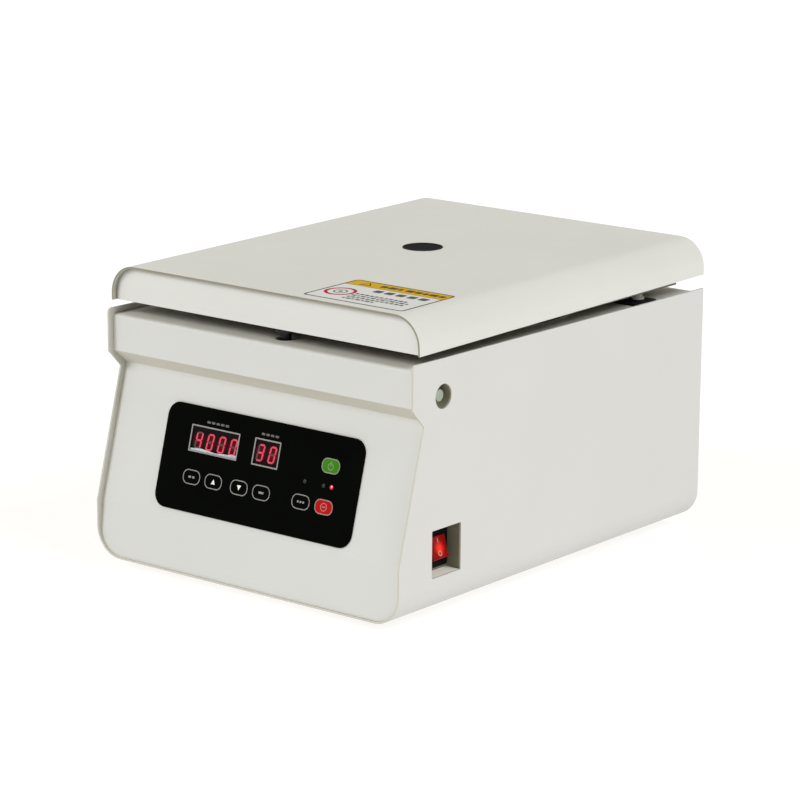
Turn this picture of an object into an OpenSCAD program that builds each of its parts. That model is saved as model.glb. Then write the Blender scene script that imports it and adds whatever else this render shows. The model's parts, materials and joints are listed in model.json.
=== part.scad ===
// Benchtop low-speed centrifuge with a hinged lid, a sloping keypad and a side power switch.
// Millimetres. +Z is up, the front faces -Y, and the origin is on the table under the middle.

/* [Cabinet] */
// Width over the two side walls
body_w = 300; // [294:1:320]
// Depth from the lower front bend to the back edges
body_d = 385.5; // [380:0.5:400]
// Height of the side walls at the front, above the feet
side_h = 192.7; // [190:0.1:196]
// How much lower the side walls are at the back
side_fall = 2.3; // [0:0.1:3]
// Radius of the folded bottom corners
shell_r = 23.6; // [20:0.2:26]
// Sheet steel thickness
sheet = 1.5; // [1.2:0.1:2]
// How far the front and rear sheets sit inside the side walls' edges
panel_inset = 5; // [4:0.5:6]
// The same for the front sheet's bottom edge
foot_inset = 1.2; // [0.8:0.1:2]
// How much higher the front sheet's notch is than the one in the side walls
notch_rise = 2.6; // [0:0.1:3]

/* [Front profile] */
// Setback of the brow behind the lower front bend
brow_setback = 14.5; // [13:0.5:16]
// Setback of the notch under the brow
notch_setback = 27.6; // [26:0.1:29]
// Height of the lower front bend above the feet
bend_h = 43.5; // [40:0.5:48]
// Height of the notch above the feet
notch_h = 145.5; // [143:0.5:147]
// Height of the brow's lower edge above the feet
brow_h = 159.15; // [158:0.05:161]
// Depth of the deck below the side walls' front corners
deck_drop = 5; // [4:0.5:6]

/* [Lid] */
// Overhang of the lid past each side wall
lid_overhang = 0.9; // [0.8:0.1:2]
// Depth of the lid
lid_d = 363.3; // [360:0.1:364]
// Height of the lid
lid_h = 28.4; // [27:0.1:30]
// Radius of the lid's folded corners
lid_r = 22.8; // [20:0.2:24]
// Gap from the side walls to the lid at the front
lid_gap = 5.6; // [5:0.1:7]
// Nose-down lean of the closed lid
lid_tilt = 0.563; // [0.3:0.001:0.6]
// Diameter of the viewing window
window_d = 32; // [28:1:36]

/* [Rotor] */
// Number of tube sleeves
sleeves = 8; // [6:1:8]
// Lean of the sleeves from the vertical
sleeve_angle = 30; // [28:1:32]
// Inner diameter of a sleeve
sleeve_bore = 17.6; // [16:0.1:18]
// Length of a sleeve
sleeve_len = 80; // [70:1:82]

/* [Moving parts] */
// Travel of the release rod and the lock slide
lock_travel = 9.5; // [9:0.1:10]
// Tilt of the power rocker each side of level
rocker_tilt = 15; // [12:1:15]

/* [Hidden] */
$fn = 64;
eps = 0.01;
foot_h = 8;
z0 = foot_h;
hw = body_w / 2;
yf = -body_d / 2;
yb = body_d / 2;
wall_x = hw - sheet;

// Side outline, front to back
bend_z = z0 + bend_h;
notch_z = z0 + notch_h;
brow_z = z0 + brow_h;
side_z = z0 + side_h;
side_back_z = side_z - side_fall;
brow_y = yf + brow_setback;
notch_y = yf + notch_setback;
deck_z = side_z - deck_drop;
deck_back_y = yb - panel_inset;

// Sloping keypad face: its top edge, its lean and its length
face_y = notch_y + panel_inset;
face_lean = atan(notch_setback / (notch_z - bend_z));

// Keypad layout: x and distance down the slope from the notch
overlay_w = 194;
overlay_h = 81.2;
overlay_r = 11;
overlay_x = 1.4;
overlay_s = 60.1;
overlay_t = 1.2;
speed_win = [-45.6, 44.3, 47.4, 19.4];
time_win = [6.5, 44.3, 24.5, 19.4];
key_row = 73.9;
key_w = 17.2;
key_h = 11.2;
key_r = 5;
key_gap = 0.25;
key_rise = 0.7;
key_stem_r = 2.5;
lamps = [[47.3, 58.2], [65.4, 58.4], [73, 58.4]];
lamp_r = 1.6;
board_depth = 12;

// Rotor axis and drive train
axis_y = 22;
bowl_r = 117;
bowl_t = 1.2;
bowl_floor = 86;
bowl_fillet = 20;
mouth_r = bowl_r + bowl_t + 0.3;
shaft_r = 6;
shaft_gap = 0.03;
bearing_gap = 0.05;
motor_plate_z = 24;
motor_plate_t = 3;
motor_r = 50;
motor_z = motor_plate_z + motor_plate_t;
motor_h = 47;
sleeve_r = sleeve_bore / 2 + 1.2;
rim_t = 2.2;
rim_w = 2;
mouth_centre = [46.5, 168];

// Side button and lid lock
rod_y = -142.9;
rod_z = 172.2;
rod_r = 4.45;
rod_end = hw - 3.7;
rod_tip = 34;
rod_hole_r = 9.3;
rod_cup_d = 9.5;
collar_x = 82;
lock_x = 8;
lock_y = -152;
lock_hole_r = 8;
pin_r = 4.25;
neck_r = 2.5;
plate_t = 2;
guide_gap = 0.2;
tab_x = rod_tip - lock_travel - 0.5;

// Power switch in the side recess
recess_y = -137.55;
recess_z = 55.1;
recess_w = 34.1;
recess_h = 36.2;
recess_floor_x = hw - 13.5;
recess_t = 1.2;
switch_y = -136.2;
switch_z = 54.5;
bezel_w = 28;
bezel_h = 29.4;
bezel_t = 2;
switch_body = [24, 25.2, 26.4];
rocker_w = 18.4;
rocker_pivot_x = recess_floor_x + 0.5;
rocker_pin_r = 1.2;
rocker_slot = [19.2, 19.8];

// Lid, in its own leaning frame whose origin is the front lower edge
lid_w = body_w + 2 * lid_overhang;
lid_front_y = -172.1;
lid_front_z = side_z + lid_gap;
lid_back_y = lid_front_y + lid_d;
plate_inset = 4;
liner_x = 139;
liner_front = -158;
liner_back = 170;
liner_z = 203.4;
hinge_y = 186.5;
hinge_z = 199.7;
hinge_x = 104;
hinge_r = 3.2;
hinge_pin_r = 1.5;
leaf_t = 1.5;
knuckle_ends = [-104, -63, -21, 21, 63, 104];

feet = [for (x = [-95, 95], y = [-150, 150]) [x, y]];

// ---- helpers ----

// Box from its lowest corner to its highest
module block(low, high) {
    translate(low) cube(high - low);
}

// Flat rectangle with round corners, centred
module round_rect(w, h, r) {
    square([w - 2 * r, h], center = true);
    square([w, h - 2 * r], center = true);
    for (x = [-1, 1], y = [-1, 1]) translate([x * (w / 2 - r), y * (h / 2 - r)]) circle(r);
}

// Upright section with two round lower corners, its lower edge on the x axis
module tub(w, h, r) {
    translate([-w / 2, r]) square([w, h - r]);
    translate([-w / 2 + r, 0]) square([w - 2 * r, r + eps]);
    for (x = [-1, 1]) translate([x * (w / 2 - r), r]) circle(r);
}

// Section with two round upper corners, cut off level along the x axis
module arch(w, h, r) {
    intersection() {
        translate([0, h]) mirror([0, 1]) tub(w, 2 * r, r);
        translate([-w / 2, 0]) square([w, h]);
    }
}

// Stands a section drawn in x and z up, and runs it along y
module along_y(y_low, y_high) {
    translate([0, y_high, 0]) rotate([90, 0, 0]) linear_extrude(y_high - y_low) children();
}

// Stands a section drawn in y and z up, and runs it along x
module along_x(x_low, x_high) {
    translate([x_low, 0, 0]) rotate([90, 0, 90]) linear_extrude(x_high - x_low) children();
}

// Round bar or hole along x
module bar_x(x_low, x_high, y, z, r) {
    translate([x_low, y, z]) rotate([0, 90, 0]) cylinder(h = x_high - x_low, r = r);
}

// Places things on the keypad face: x, distance down the slope, height off the sheet
module on_face(x = 0, s = 0, n = 0) {
    translate([0, face_y, notch_z]) rotate([90 - face_lean, 0, 0]) translate([x, -s, n]) children();
}

// The lid's leaning frame
module in_lid() {
    translate([0, lid_front_y, lid_front_z]) rotate([lid_tilt, 0, 0]) children();
}

// Places things on the rotor axis
module on_axis(z = 0) {
    translate([0, axis_y, z]) children();
}

// Points of a bend of radius r at p, on the way from a to b
function unit(v) = v / norm(v);
function bend(a, p, b, r, n = 5) =
    let (u = unit(a - p), v = unit(b - p), half = acos(u * v) / 2,
         c = p + unit(u + v) * r / sin(half), from = p + u * r / tan(half) - c,
         to = p + v * r / tan(half) - c, sweep = 180 - 2 * half,
         turn = sign(from[0] * to[1] - from[1] * to[0]))
    [for (i = [0:n]) let (t = turn * sweep * i / n)
        c + [from[0] * cos(t) - from[1] * sin(t), from[0] * sin(t) + from[1] * cos(t)]];

// Outline of a bent sheet of thickness t whose outer face follows the points p
function normal(a, b) = let (d = unit(b - a)) [d[1], -d[0]];
function inner(p, t) = [for (i = [0:len(p) - 1])
    let (m = i == 0 ? normal(p[0], p[1]) : normal(p[i - 1], p[i]),
         n = i == len(p) - 1 ? m : normal(p[i], p[i + 1]))
    p[i] + (m + n) * t / (1 + m * n)];
function reversed(p) = [for (i = [len(p) - 1:-1:0]) p[i]];
function bent_sheet(p, t) = concat(p, reversed(inner(p, t)));

// Pan-head screw along +z, its head's underside at the origin
module screw(head_r, shank_r, reach) {
    difference() {
        translate([0, 0, -2.4]) cylinder(h = 2.4, r = head_r);
        for (a = [0, 90]) rotate([0, 0, a])
            translate([-head_r * 0.55, -0.5, -2.5]) cube([head_r * 1.1, 1, 1.2]);
    }
    translate([0, 0, -eps]) cylinder(h = reach, r = shank_r);
}

// ---- cabinet ----

// Outline of a side wall in y and z, with a small radius at its top front corner
module side_outline() {
    top_front = [brow_y, side_z];
    polygon(concat(
        [[yb, z0], [yb, side_back_z]],
        bend([yb, side_back_z], top_front, [brow_y, brow_z], 3.5),
        [[brow_y, brow_z], [notch_y, notch_z], [yf, bend_z], [yf, z0]]));
}

module vent_row(n, pitch, w, h, depth) {
    for (i = [0:n - 1]) translate([(i - (n - 1) / 2) * pitch, 0, 0])
        linear_extrude(depth) round_rect(w, h, w / 2 - 0.01);
}

// The shell's two rear flanges, and where the rear panel is screwed to them
flange_x = 132;
flange_low = 36;
flange_top = 190;
rear_screws = [for (x = [-139, 139], z = [45, 112, 180]) [x, z]];

module outer_shell() {
    flange_y = deck_back_y - 2 * sheet;
    color([0.86, 0.86, 0.83]) difference() {
        union() {
            intersection() {
                along_y(yf, yb) difference() {
                    translate([0, z0]) tub(body_w, side_h, shell_r);
                    translate([0, z0 + sheet]) tub(body_w - 2 * sheet, side_h, shell_r - sheet);
                }
                along_x(-hw, hw) side_outline();
            }
            for (x = [-wall_x - eps, flange_x])
                block([x, flange_y, flange_low], [x + wall_x - flange_x + eps, flange_y + sheet, flange_top]);
        }
        for (p = rear_screws) translate([p[0], flange_y - 1, p[1]])
            rotate([-90, 0, 0]) cylinder(h = 3, r = 1.7);
        bar_x(wall_x - 2, hw + 1, rod_y, rod_z, rod_hole_r);
        translate([wall_x - 2, recess_y, recess_z]) rotate([90, 0, 90])
            linear_extrude(sheet + 4) round_rect(recess_w, recess_h, 0.8);
        for (p = feet) translate([p[0], p[1], z0 - 1]) cylinder(h = sheet + 2, r = 2.3);
        for (y = [-85, 105]) translate([0, y, z0 - 1]) vent_row(9, 12, 3, 40, sheet + 2);
    }
}

// Front sheet: a foot flange, the apron, the keypad face, the notch, the brow and the front of the deck
module front_panel() {
    brow_front = brow_y + panel_inset;
    floor_z = z0 + sheet;
    flange = [yf + foot_inset + 18, floor_z];
    foot = [yf + foot_inset, floor_z];
    knee = [yf + panel_inset, bend_z];
    notch = [face_y + notch_rise * tan(face_lean), notch_z + notch_rise];
    chin = [brow_front, brow_z];
    crown = [brow_front, deck_z];
    deck_end = [-125, deck_z];
    path = concat([flange, foot], bend(foot, knee, notch, 9), bend(knee, notch, chin, 0.6, 3),
        bend(notch, chin, crown, 1.8, 3), bend(chin, crown, deck_end, 2.2), [deck_end]);
    color([0.87, 0.87, 0.85]) difference() {
        intersection() {
            along_x(-wall_x, wall_x) polygon(bent_sheet(path, sheet));
            along_y(yf, 0) translate([0, z0 + sheet]) tub(2 * wall_x, side_h, shell_r - sheet);
        }
        for (w = [speed_win, time_win]) on_face(w[0], w[1], -4)
            linear_extrude(5) square([w[2] + 0.6, w[3] + 0.6], center = true);
        for (k = key_list) on_face(k[0], k[1], -4) cylinder(h = 5, r = 3.2);
        for (l = lamps) on_face(l[0], l[1], -4) cylinder(h = 5, r = lamp_r + 0.1);
        translate([lock_x, lock_y, deck_z - 3]) cylinder(h = 4, r = lock_hole_r);
    }
}

module top_deck() {
    color([0.8, 0.8, 0.78]) difference() {
        block([-wall_x, -125, deck_z - sheet], [wall_x, deck_back_y, deck_z]);
        on_axis(deck_z - 3) cylinder(h = 5, r = mouth_r);
    }
}

inlet_x = -98;
inlet_z = 48;
fuse_x = -62;

module rear_panel() {
    color([0.85, 0.85, 0.83]) difference() {
        along_y(deck_back_y - sheet, deck_back_y) translate([0, z0 + sheet])
            tub(2 * wall_x, deck_z - 2 * sheet - z0, shell_r - sheet);
        translate([inlet_x, deck_back_y - 3, inlet_z]) rotate([-90, 0, 0])
            linear_extrude(5) square([27.6, 20.6], center = true);
        translate([fuse_x, deck_back_y - 3, inlet_z]) rotate([-90, 0, 0]) cylinder(h = 5, r = 6.1);
        for (p = rear_screws) translate([p[0], deck_back_y - 3, p[1]])
            rotate([-90, 0, 0]) cylinder(h = 5, r = 1.7);
        for (z = [70, 122]) translate([45, deck_back_y - 3, z]) rotate([-90, 0, 0]) vent_row(14, 9, 3, 40, 5);
    }
}

module case_screws() {
    color([0.72, 0.73, 0.74]) {
        for (p = rear_screws) translate([p[0], deck_back_y, p[1]]) rotate([90, 0, 0]) screw(3, 1.6, 7);
        for (p = feet) translate([p[0], p[1], 3]) screw(4, 2, 9.5);
    }
}

module rubber_feet() {
    color([0.08, 0.08, 0.08]) for (p = feet) translate([p[0], p[1], 0]) rotate_extrude()
        polygon([[4.6, 0], [9.6, 0], [10.6, 1], [11, z0], [2.2, z0], [2.2, 3], [4.6, 3]]);
}

// ---- chamber ----

module chamber_bowl() {
    wall_r = bowl_r + bowl_t;
    fillet_z = bowl_floor + bowl_fillet;
    color([0.78, 0.78, 0.78]) on_axis() rotate_extrude($fn = 96) {
        difference() {
            union() {
                translate([0, fillet_z]) square([wall_r, deck_z + 1 - fillet_z]);
                translate([0, bowl_floor - bowl_t])
                    square([bowl_r - bowl_fillet, bowl_fillet + bowl_t + eps]);
                translate([bowl_r - bowl_fillet, fillet_z]) circle(bowl_fillet + bowl_t);
                translate([0, deck_z]) square([wall_r + 6, 1]);
            }
            translate([0, fillet_z]) square([bowl_r, deck_z + 2 - fillet_z]);
            translate([0, bowl_floor]) square([bowl_r - bowl_fillet, bowl_fillet + 2 * eps]);
            translate([bowl_r - bowl_fillet, fillet_z]) circle(bowl_fillet);
            translate([-300, 0]) square([314, 300]);
        }
    }
}

module chamber_gasket() {
    foot_z = deck_z + 1;
    top_z = liner_z - 0.3;
    color([0.1, 0.1, 0.1]) on_axis() rotate_extrude($fn = 96) {
        translate([bowl_r + 1, foot_z]) square([6, top_z - foot_z - 2]);
        translate([bowl_r + 3, foot_z]) square([2, top_z - foot_z]);
        for (r = [3, 5]) translate([bowl_r + r, top_z - 2]) circle(2);
    }
}

module shaft_seal() {
    color([0.12, 0.12, 0.12]) on_axis() rotate_extrude()
        polygon([[6.6, 76], [12, 76], [13.9, 80], [13.9, bowl_floor - bowl_t], [18, bowl_floor - bowl_t],
                 [18, bowl_floor - bowl_t - 2], [15.5, bowl_floor - bowl_t - 2], [15.5, 79], [13, 74.4],
                 [6.6, 74.4]]);
}

// ---- drive ----

mounts = [for (x = [-62, 62], y = [-62, 62]) [x, y + axis_y]];

module motor_plate() {
    color([0.6, 0.61, 0.62]) difference() {
        translate([0, axis_y, motor_plate_z]) linear_extrude(motor_plate_t) round_rect(148, 148, 12);
        for (p = mounts) translate([p[0], p[1], motor_plate_z - 1]) cylinder(h = 5, r = 2.6);
        on_axis(motor_plate_z - 1) cylinder(h = 5, r = 12);
    }
}

module rubber_mounts() {
    low = z0 + sheet;
    top = motor_plate_z - low;
    color([0.1, 0.1, 0.1]) for (p = mounts) translate([p[0], p[1], low]) rotate_extrude()
        polygon([[0, 0], [10, 0], [10, 3], [8, 5], [8, top - 5], [10, top - 3], [10, top], [2.5, top],
                 [2.5, top + 8], [0, top + 8]]);
}

module motor_housing() {
    top = motor_z + motor_h;
    color([0.25, 0.26, 0.28]) on_axis() rotate_extrude() difference() {
        union() {
            translate([0, motor_z]) square([motor_r, motor_h]);
            translate([0, motor_z]) square([motor_r + 8, 4]);
        }
        translate([0, motor_z + 11]) square([motor_r - 3, motor_h - 18]);
        translate([0, motor_z + 4]) square([11, 8]);
        translate([0, top - 8]) square([11, 9]);
        translate([-1, motor_z + 2]) square([8, motor_h]);
    }
}

module motor_stator() {
    color([0.72, 0.42, 0.22]) on_axis(motor_z + 14) rotate_extrude()
        translate([30.6, 0]) square([motor_r - 3 - 30.6, 21]);
}

module motor_bearings() {
    color([0.75, 0.75, 0.76]) for (z = [motor_z + 4, motor_z + motor_h - 7]) on_axis(z) rotate_extrude()
        translate([shaft_r + bearing_gap, 0]) square([11 - shaft_r - bearing_gap, 7]);
}

module drive_shaft() {
    color([0.8, 0.8, 0.82]) on_axis(motor_z + 3) cylinder(h = 166 - motor_z - 3, r = shaft_r);
}

module motor_armature() {
    color([0.3, 0.3, 0.32]) on_axis(motor_z + 14) rotate_extrude()
        translate([shaft_r + shaft_gap, 0]) square([30 - shaft_r - shaft_gap, 21]);
}

// Places things along one sleeve's axis: z = 0 is the sleeve's mouth, and +z leaves it
module on_sleeve(i) {
    on_axis() rotate([0, 0, 360 / sleeves * (i + 0.5)]) translate([mouth_centre[0], 0, mouth_centre[1]])
        rotate([0, -sleeve_angle, 0]) children();
}

module rotor_head() {
    bore = shaft_r + shaft_gap;
    rise = tan(sleeve_angle);
    top = function (r) mouth_centre[1] - 2.4 + (r - mouth_centre[0]) * rise;
    color([0.7, 0.71, 0.73]) difference() {
        on_axis() rotate_extrude($fn = 96)
            polygon([[bore, 118], [15, 118], [15, 126], [36, 129], [78, 129 + 42 * rise],
                     [64, top(64)], [24, top(24)], [15, top(24)], [15, 158], [bore, 158]]);
        for (i = [0:sleeves - 1]) on_sleeve(i) {
            translate([0, 0, -sleeve_len]) cylinder(h = sleeve_len + 10, r = sleeve_r + 0.05);
            translate([0, 0, -rim_t]) cylinder(h = 12, r = sleeve_r + rim_w + 0.3);
        }
    }
}

module tube_sleeves() {
    color([0.85, 0.85, 0.86]) for (i = [0:sleeves - 1]) on_sleeve(i) difference() {
        union() {
            translate([0, 0, -sleeve_len]) cylinder(h = sleeve_len, r = sleeve_r);
            translate([0, 0, -rim_t]) cylinder(h = rim_t, r = sleeve_r + rim_w);
        }
        translate([0, 0, 2 - sleeve_len]) cylinder(h = sleeve_len, r = sleeve_bore / 2);
    }
}

module rotor_nut() {
    color([0.2, 0.2, 0.21]) on_axis(158) difference() {
        union() {
            rotate_extrude() polygon([[0, 0], [13, 0], [13, 11], [11, 14], [0, 15]]);
            for (a = [0:30:330]) rotate([0, 0, a]) translate([12.6, 0, 0]) cylinder(h = 10, r = 1.6);
        }
        translate([0, 0, -1]) cylinder(h = 10, r = shaft_r + shaft_gap);
    }
}

// ---- keypad and electronics ----

// Each key: its place across, down the slope
key_list = [[-62, key_row], [-39.9, key_row], [-14.2, key_row], [7.9, key_row],
            [46.6, key_row], [68.8, key_row], [69, 43.2]];

module keypad_overlay() {
    color([0.05, 0.05, 0.06]) difference() {
        on_face(overlay_x, overlay_s, 0) linear_extrude(overlay_t)
            round_rect(overlay_w, overlay_h, overlay_r);
        for (k = key_list) on_face(k[0], k[1], -1) linear_extrude(4)
            round_rect(key_w + 2 * key_gap, key_h + 2 * key_gap, key_r + key_gap);
        for (w = [speed_win, time_win]) on_face(w[0], w[1], -1)
            linear_extrude(4) square([w[2], w[3]], center = true);
        for (l = lamps) on_face(l[0], l[1], -1) cylinder(h = 4, r = lamp_r + 0.1);
    }
}

// A cap that fills its window in the overlay, on a stem through the sheet
module key(k) {
    color([0.06, 0.06, 0.07]) {
        on_face(k[0], k[1], overlay_t - key_rise)
            linear_extrude(key_rise) round_rect(key_w, key_h, key_r);
        on_face(k[0], k[1], -4.4) cylinder(h = 4.4 + overlay_t - key_rise + eps, r = key_stem_r);
    }
}

module control_board() {
    depth = -sheet - board_depth;
    color([0.1, 0.35, 0.2]) {
        on_face(0, overlay_s + 2, depth) linear_extrude(1.6) square([176, 70], center = true);
        on_face(-20, overlay_s + 2, depth - 3) linear_extrude(3) square([24, 24], center = true);
        on_face(50, overlay_s - 4, depth - 9) linear_extrude(9) square([30, 12], center = true);
        for (x = [-84, 84], s = [-28, 32]) on_face(x, overlay_s + s, depth + 1.6)
            cylinder(h = board_depth - 1.6, r = 3);
    }
}

module display(w) {
    base = 1.6 - sheet - board_depth;
    on_face(w[0], w[1], base) linear_extrude(-base + 0.3) square([w[2] - 0.2, w[3] - 0.2], center = true);
}

module speed_display() {
    color([0.35, 0.3, 0.3]) display(speed_win);
}

module time_display() {
    color([0.35, 0.3, 0.3]) display(time_win);
}

module indicator_lamps() {
    base = 1.6 - sheet - board_depth;
    color([0.9, 0.35, 0.25]) for (l = lamps) on_face(l[0], l[1], base)
        cylinder(h = overlay_t - base, r = lamp_r);
}

module tactile_switches() {
    base = 1.6 - sheet - board_depth;
    color([0.15, 0.15, 0.16]) for (k = key_list) on_face(k[0], k[1], base) {
        translate([-3, -3, 0]) cube([6, 6, 4]);
        cylinder(h = -base - 4.9, r = 1.7);
    }
}

module drive_board() {
    color([0.1, 0.35, 0.2]) {
        block([-138, -60, 18], [-78, 66, 19.6]);
        block([-102, 36, 19.6], [-80, 62, 42]);
        block([-94, -54, 19.6], [-80, -22, 31]);
        for (x = [-122, -83], y = [-55, 61]) translate([x, y, z0 + sheet]) cylinder(h = 8.5, r = 3);
    }
}

module heat_sink() {
    color([0.2, 0.2, 0.21]) {
        block([-132, -10, 19.6], [-108, 62, 24]);
        for (x = [-132:4:-110]) block([x, -10, 23.9], [x + 2, 62, 52]);
    }
}

module filter_capacitors() {
    color([0.12, 0.14, 0.3]) for (y = [-46, -22]) translate([-118, y, 19.6]) cylinder(h = 36, r = 10.5);
}

module power_inlet() {
    out = [inlet_x, deck_back_y, inlet_z];
    color([0.07, 0.07, 0.07]) translate(out) rotate([-90, 0, 0]) {
        difference() {
            union() {
                linear_extrude(3) round_rect(30.5, 24, 2);
                translate([0, 0, -18]) linear_extrude(18 + eps) square([27.2, 20.2], center = true);
            }
            translate([0, 0, -15]) linear_extrude(20) square([24, 16.4], center = true);
        }
        for (p = [[-7, 2], [7, 2], [0, -2]]) translate([p[0], p[1], -15 - eps])
            linear_extrude(11) square([2, 4], center = true);
    }
}

module fuse_holder() {
    color([0.08, 0.08, 0.08]) translate([fuse_x, deck_back_y, inlet_z]) rotate([-90, 0, 0]) difference() {
        union() {
            cylinder(h = 3, r = 8);
            translate([0, 0, -22]) cylinder(h = 22 + eps, r = 6);
            cylinder(h = 4.6, r = 5.6);
        }
        translate([-4, -0.6, 3.6]) cube([8, 1.2, 2]);
    }
}

// ---- power switch ----

module switch_recess() {
    floor_x = recess_floor_x;
    color([0.5, 0.47, 0.4]) difference() {
        translate([floor_x - recess_t, recess_y, recess_z]) rotate([90, 0, 90])
            linear_extrude(wall_x - floor_x + recess_t)
            round_rect(recess_w + 2 * recess_t, recess_h + 2 * recess_t, 1.6);
        translate([floor_x, recess_y, recess_z]) rotate([90, 0, 90])
            linear_extrude(20) round_rect(recess_w, recess_h, 0.8);
        translate([floor_x, switch_y, switch_z])
            cube([10, switch_body[1] + 0.2, switch_body[2] + 0.2], center = true);
    }
}

module switch_housing() {
    floor_x = recess_floor_x;
    color([0.05, 0.05, 0.05]) difference() {
        union() {
            translate([floor_x, switch_y, switch_z]) rotate([90, 0, 90])
                linear_extrude(bezel_t) round_rect(bezel_w, bezel_h, 1);
            translate([floor_x, switch_y - switch_body[1] / 2, switch_z - switch_body[2] / 2])
                translate([-switch_body[0], 0, 0]) cube([switch_body[0] + eps, switch_body[1], switch_body[2]]);
        }
        translate([floor_x - 14, switch_y - rocker_slot[0] / 2, switch_z - rocker_slot[1] / 2])
            cube([20, rocker_slot[0], rocker_slot[1]]);
        translate([rocker_pivot_x, switch_y, switch_z]) rotate([90, 0, 0])
            cylinder(h = 23, r = rocker_pin_r + 0.05, center = true);
    }
}

// Rocker section about its pivot: x outwards, y upwards
rocker_section = [[-5, -5], [0, -8.6], [5.9, -8.8], [5.2, -4], [4.9, 0], [5.2, 4], [5.9, 8.8], [0, 8.6],
                  [-5, 5]];

module power_rocker() {
    color([0.75, 0.05, 0.04]) translate([rocker_pivot_x, switch_y, switch_z]) rotate([0, -rocker_tilt, 0]) {
        translate([0, rocker_w / 2, 0]) rotate([90, 0, 0]) linear_extrude(rocker_w) polygon(rocker_section);
        rotate([90, 0, 0]) cylinder(h = 22.4, r = rocker_pin_r, center = true);
    }
}

// ---- lid lock ----

module lock_bracket() {
    front = lock_y - 14;
    back = lock_y + 20;
    x_low = -26;
    x_high = 21;
    top = deck_z - sheet;
    mid = rod_z;
    color([0.55, 0.56, 0.58]) {
        difference() {
            block([x_low, front, top - 2], [x_high, back, top]);
            translate([lock_x, lock_y, top - 3]) cylinder(h = 4, r = lock_hole_r + 0.5);
        }
        for (y = [front, back - 3]) block([x_low, y, mid - 6], [x_high, y + 3, top - 2 + eps]);
        for (y = [front + 3 - eps, back - 6 - eps], z = [mid - 3.2, mid + 1.2])
            block([x_low, y, z], [x_high, y + 3 + 2 * eps, z + 2]);
    }
}

module lock_slide() {
    front = lock_y - 14 + 3 + guide_gap;
    back = lock_y + 20 - 3 - guide_gap;
    low = rod_z - plate_t / 2;
    color([0.8, 0.8, 0.8]) {
        difference() {
            block([-22, front, low], [tab_x, back, low + plate_t]);
            translate([lock_x, lock_y, low - 1]) cylinder(h = 4, r = 7);
            translate([lock_x - lock_travel, lock_y, low - 1]) cylinder(h = 4, r = neck_r + 0.4);
            block([lock_x - lock_travel, lock_y - neck_r - 0.4, low - 1],
                  [lock_x, lock_y + neck_r + 0.4, low + 3]);
        }
        for (x = [-22, tab_x - 2]) block([x, rod_y - 4, rod_z - 6], [x + 2, rod_y + 4, rod_z + 6]);
    }
}

module solenoid_plunger() {
    color([0.8, 0.8, 0.82]) bar_x(-50, -22, rod_y, rod_z, 3);
}

module lock_solenoid() {
    color([0.2, 0.22, 0.25]) difference() {
        block([-74, rod_y - 12, rod_z - 12], [-38, rod_y + 12, deck_z - sheet]);
        bar_x(-62, -37, rod_y, rod_z, 3.3);
    }
}

module release_rod() {
    color([0.88, 0.89, 0.86]) {
        bar_x(rod_tip, rod_end, rod_y, rod_z, rod_r);
        bar_x(collar_x, collar_x + 3, rod_y, rod_z, 9);
    }
}

// Bracket that carries the rod, and a cup behind the wall that closes the space round the rod's end
module rod_guide() {
    top = deck_z - sheet;
    left = collar_x - 32;
    right = collar_x + 3.4;
    color([0.5, 0.49, 0.41]) {
        difference() {
            union() {
                block([left, rod_y - 10, top - 2], [right + 2, rod_y + 10, top]);
                for (x = [left, right]) block([x, rod_y - 10, rod_z - 10], [x + 2, rod_y + 10, top - 2 + eps]);
            }
            bar_x(left - 1, right + 3, rod_y, rod_z, rod_r + 0.06);
        }
        difference() {
            bar_x(wall_x - rod_cup_d, wall_x, rod_y, rod_z, rod_hole_r + 1.2);
            bar_x(wall_x - rod_cup_d + 1, wall_x + 1, rod_y, rod_z, rod_hole_r);
            bar_x(wall_x - rod_cup_d - 1, wall_x, rod_y, rod_z, rod_r + 0.5);
        }
    }
}

// Coil spring: a ring of points at each step along the helix, joined to the next ring
module rod_spring() {
    first = collar_x - 30 + 0.8;
    length = 28.4;
    coil_r = 7;
    wire_r = 0.7;
    turns = 7;
    steps = 16;
    sides = 6;
    rings = turns * steps;
    points = [for (i = [0:rings], j = [0:sides - 1])
        let (t = 360 * i / steps, a = 360 * j / sides, r = coil_r + wire_r * cos(a))
        [first + length * i / rings + wire_r * sin(a), rod_y + r * cos(t), rod_z + r * sin(t)]];
    sleeve = [for (i = [0:rings - 1], j = [0:sides - 1]) let (k = (j + 1) % sides)
        [sides * i + j, sides * i + k, sides * (i + 1) + k, sides * (i + 1) + j]];
    start = [for (j = [sides - 1:-1:0]) j];
    finish = [for (j = [0:sides - 1]) sides * rings + j];
    color([0.7, 0.7, 0.72]) polyhedron(points, concat([start], sleeve, [finish]));
}

// ---- hinge and buffers ----

module knuckles(first) {
    for (i = [first:2:4]) difference() {
        bar_x(knuckle_ends[i] + 0.25, knuckle_ends[i + 1] - 0.25, hinge_y, hinge_z, hinge_r);
        bar_x(-140, 140, hinge_y, hinge_z, hinge_pin_r + (first == 0 ? 0.02 : 0.06));
    }
}

module hinge_base() {
    color([0.68, 0.69, 0.7]) {
        knuckles(0);
        block([-hinge_x, 171, deck_z], [hinge_x, hinge_y - hinge_r - 0.4, deck_z + leaf_t]);
        for (i = [0, 2, 4]) difference() {
            block([knuckle_ends[i] + 0.25, hinge_y - hinge_r - 0.5, deck_z],
                  [knuckle_ends[i + 1] - 0.25, hinge_y, deck_z + leaf_t]);
            bar_x(-140, 140, hinge_y, hinge_z, hinge_r - 0.5);
        }
    }
}

module hinge_pin() {
    color([0.8, 0.8, 0.82]) bar_x(-hinge_x, hinge_x, hinge_y, hinge_z, hinge_pin_r);
}

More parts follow.
